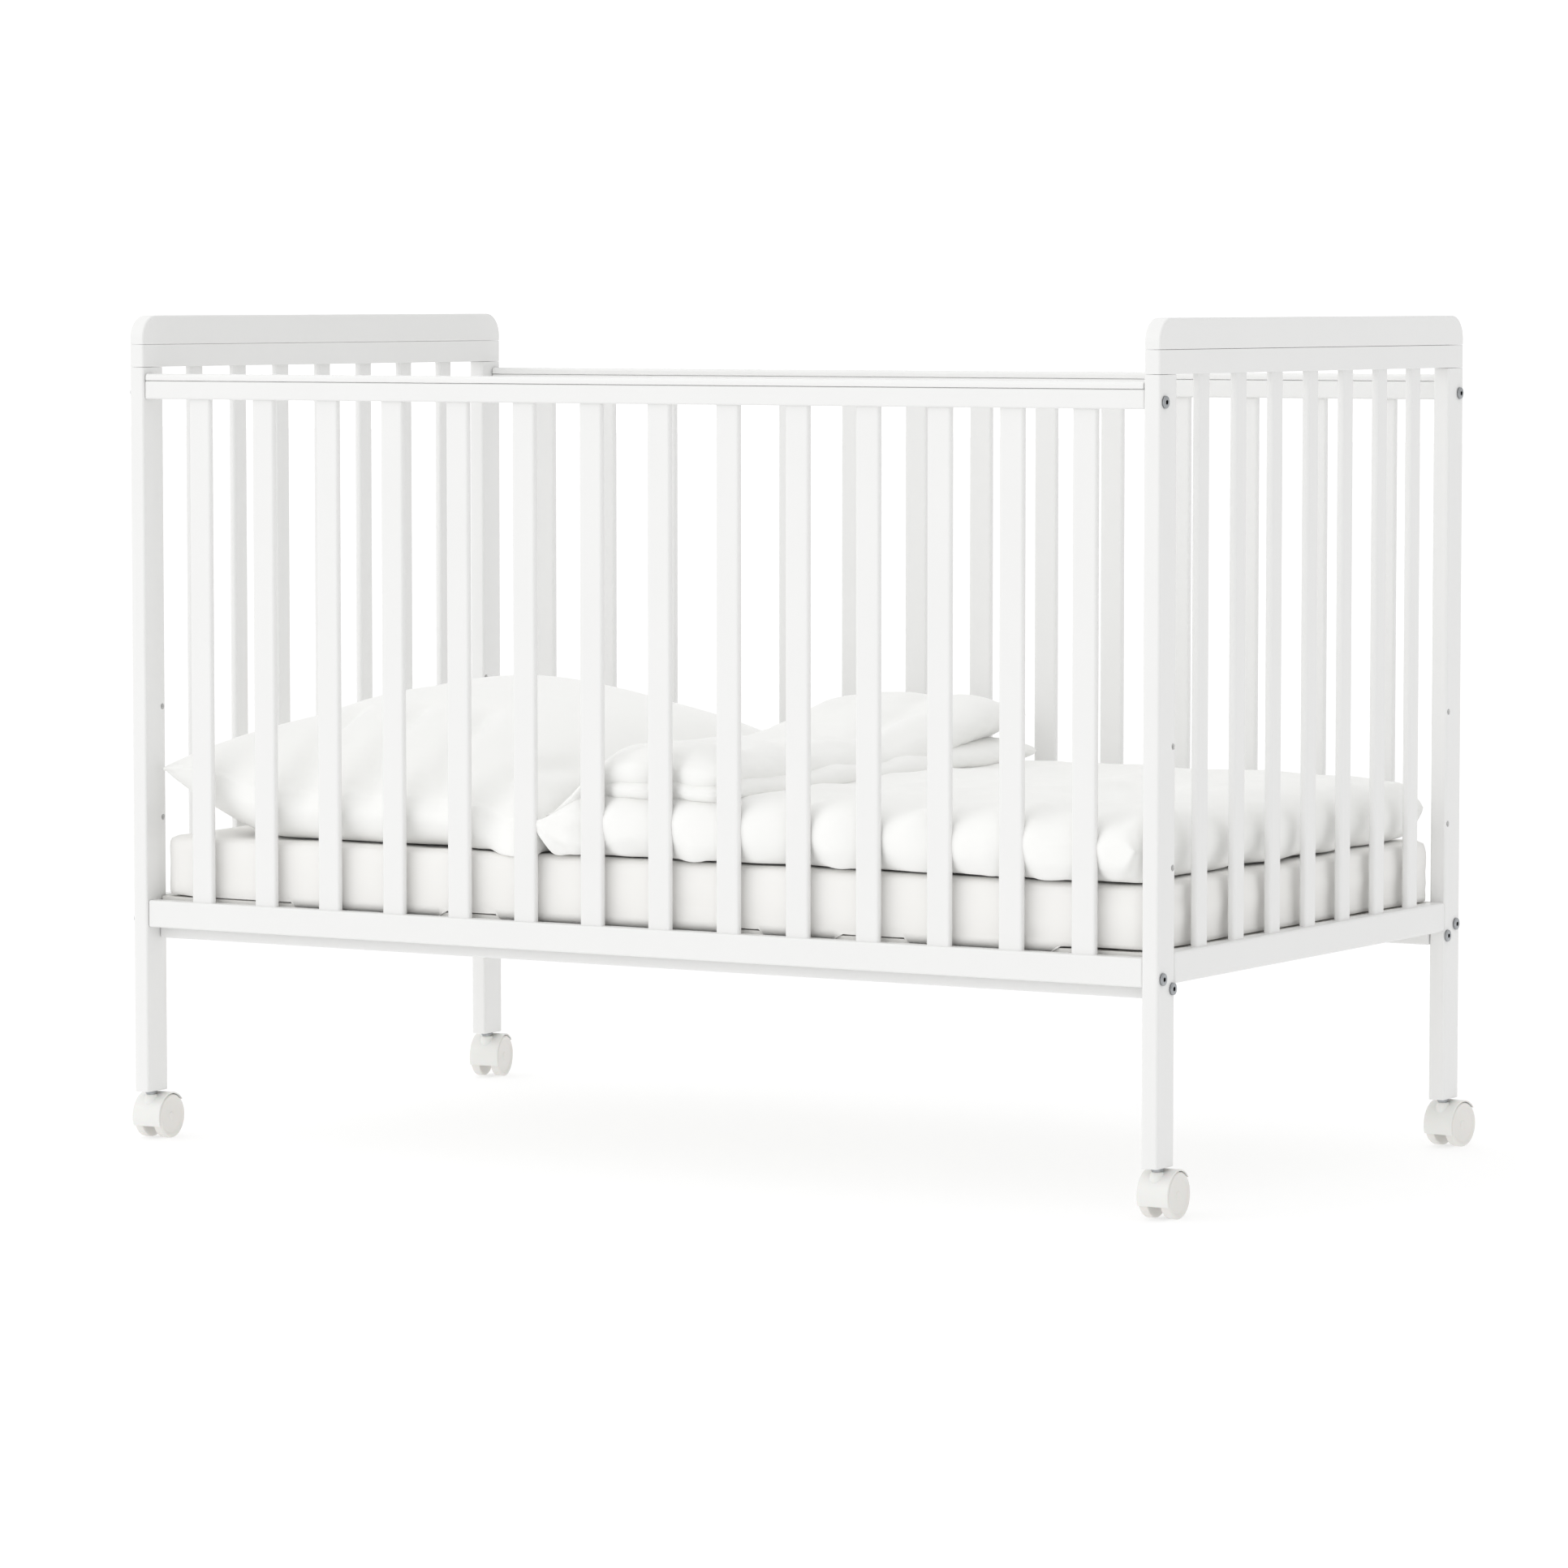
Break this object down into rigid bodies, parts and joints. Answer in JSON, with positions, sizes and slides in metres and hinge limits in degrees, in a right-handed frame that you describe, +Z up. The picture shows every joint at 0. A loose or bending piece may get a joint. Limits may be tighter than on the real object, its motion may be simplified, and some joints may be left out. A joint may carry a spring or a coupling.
{
  "type": "baby crib",
  "caption": "White slatted baby crib on twin-wheel casters, with a height-adjustable slatted base, mattress, pillow and folded duvet.",
  "frame": {"origin": "on the floor under the middle of the overall bounding box", "axes": "+X from the head end (pillow) to the foot end, +Y from the front side to the rear side, +Z up; the casters stand on z = 0"},
  "size_m": [1.2677, 0.7103, 0.884],
  "materials": {
    "paint": "white satin lacquer on solid wood",
    "guard": "glossy white flexible plastic profile",
    "ply": "pale board with a dull lacquer",
    "sheet": "plain white cotton fitted sheet over a foam core",
    "satin": "white cotton satin, soft sheen",
    "quilt": "white cotton cover, filled",
    "steel": "zinc plated",
    "nylon": "white moulded nylon",
    "tread": "white moulded nylon, slightly dull"
  },
  "bodies": {
    "root": {"post_front_left": "paint", "post_front_right": "paint", "post_rear_left": "paint", "post_rear_right": "paint", "head_top_board": "paint", "head_upper_rail": "paint", "head_lower_rail": "paint", "head_slat_1": "paint", "head_slat_2": "paint", "head_slat_3": "paint", "head_slat_4": "paint", "head_slat_5": "paint", "head_slat_6": "paint", "head_slat_7": "paint", "foot_top_board": "paint", "foot_upper_rail": "paint", "foot_lower_rail": "paint", "foot_slat_1": "paint", "foot_slat_2": "paint", "foot_slat_3": "paint", "foot_slat_4": "paint", "foot_slat_5": "paint", "foot_slat_6": "paint", "foot_slat_7": "paint", "front_lower_rail_and_slats": "paint", "front_top_rail": "paint", "front_teething_guard": "guard", "rear_lower_rail_and_slats": "paint", "rear_top_rail": "paint", "rear_teething_guard": "guard", "bolt_side_low_front_left": "steel", "bolt_side_high_front_left": "steel", "bolt_base_front_left": "steel", "bolt_side_low_front_right": "steel", "bolt_side_high_front_right": "steel", "bolt_base_front_right": "steel", "bolt_side_low_rear_left": "steel", "bolt_side_high_rear_left": "steel", "bolt_base_rear_left": "steel", "bolt_side_low_rear_right": "steel", "bolt_side_high_rear_right": "steel", "bolt_base_rear_right": "steel"},
    "mattress_base": {"base_beam_front": "paint", "base_beam_rear": "paint", "base_deck": "ply", "mattress": "sheet", "pillow": "satin", "duvet": "quilt"},
    "caster_front_left": {"caster_front_left_housing": "nylon"},
    "caster_front_left_wheel_a": {"caster_front_left_wheel_a": "tread"},
    "caster_front_left_wheel_b": {"caster_front_left_wheel_b": "tread"},
    "caster_front_right": {"caster_front_right_housing": "nylon"},
    "caster_front_right_wheel_a": {"caster_front_right_wheel_a": "tread"},
    "caster_front_right_wheel_b": {"caster_front_right_wheel_b": "tread"},
    "caster_rear_left": {"caster_rear_left_housing": "nylon"},
    "caster_rear_left_wheel_a": {"caster_rear_left_wheel_a": "tread"},
    "caster_rear_left_wheel_b": {"caster_rear_left_wheel_b": "tread"},
    "caster_rear_right": {"caster_rear_right_housing": "nylon"},
    "caster_rear_right_wheel_a": {"caster_rear_right_wheel_a": "tread"},
    "caster_rear_right_wheel_b": {"caster_rear_right_wheel_b": "tread"}
  },
  "joints": [
    {"name": "base_height", "type": "slide", "parent": "root", "child": "mattress_base", "axis": [0, 0, 1], "range_m": [0, 0.238]},
    {"name": "caster_front_left_swivel", "type": "hinge", "parent": "root", "child": "caster_front_left", "pos_m": [-0.611, -0.3366, 0.07], "axis": [0, 0, 1], "continuous": true},
    {"name": "caster_front_left_wheel_a_spin", "type": "hinge", "parent": "caster_front_left", "child": "caster_front_left_wheel_a", "pos_m": [-0.61151, -0.32211, 0.0235], "axis": [0.9994, 0.0349, 0], "continuous": true},
    {"name": "caster_front_left_wheel_b_spin", "type": "hinge", "parent": "caster_front_left", "child": "caster_front_left_wheel_b", "pos_m": [-0.61151, -0.32211, 0.0235], "axis": [0.9994, 0.0349, 0], "continuous": true},
    {"name": "caster_front_right_swivel", "type": "hinge", "parent": "root", "child": "caster_front_right", "pos_m": [0.611, -0.3366, 0.07], "axis": [0, 0, 1], "continuous": true},
    {"name": "caster_front_right_wheel_a_spin", "type": "hinge", "parent": "caster_front_right", "child": "caster_front_right_wheel_a", "pos_m": [0.611, -0.3221, 0.0235], "axis": [1, 0, 0], "continuous": true},
    {"name": "caster_front_right_wheel_b_spin", "type": "hinge", "parent": "caster_front_right", "child": "caster_front_right_wheel_b", "pos_m": [0.611, -0.3221, 0.0235], "axis": [1, 0, 0], "continuous": true},
    {"name": "caster_rear_left_swivel", "type": "hinge", "parent": "root", "child": "caster_rear_left", "pos_m": [-0.611, 0.3154, 0.07], "axis": [0, 0, 1], "continuous": true},
    {"name": "caster_rear_left_wheel_a_spin", "type": "hinge", "parent": "caster_rear_left", "child": "caster_rear_left_wheel_a", "pos_m": [-0.61377, 0.32963, 0.0235], "axis": [0.9816, 0.1908, 0], "continuous": true},
    {"name": "caster_rear_left_wheel_b_spin", "type": "hinge", "parent": "caster_rear_left", "child": "caster_rear_left_wheel_b", "pos_m": [-0.61377, 0.32963, 0.0235], "axis": [0.9816, 0.1908, 0], "continuous": true},
    {"name": "caster_rear_right_swivel", "type": "hinge", "parent": "root", "child": "caster_rear_right", "pos_m": [0.611, 0.3154, 0.07], "axis": [0, 0, 1], "continuous": true},
    {"name": "caster_rear_right_wheel_a_spin", "type": "hinge", "parent": "caster_rear_right", "child": "caster_rear_right_wheel_a", "pos_m": [0.61277, 0.32979, 0.0235], "axis": [0.9925, -0.1219, 0], "continuous": true},
    {"name": "caster_rear_right_wheel_b_spin", "type": "hinge", "parent": "caster_rear_right", "child": "caster_rear_right_wheel_b", "pos_m": [0.61277, 0.32979, 0.0235], "axis": [0.9925, -0.1219, 0], "continuous": true}
  ]
}
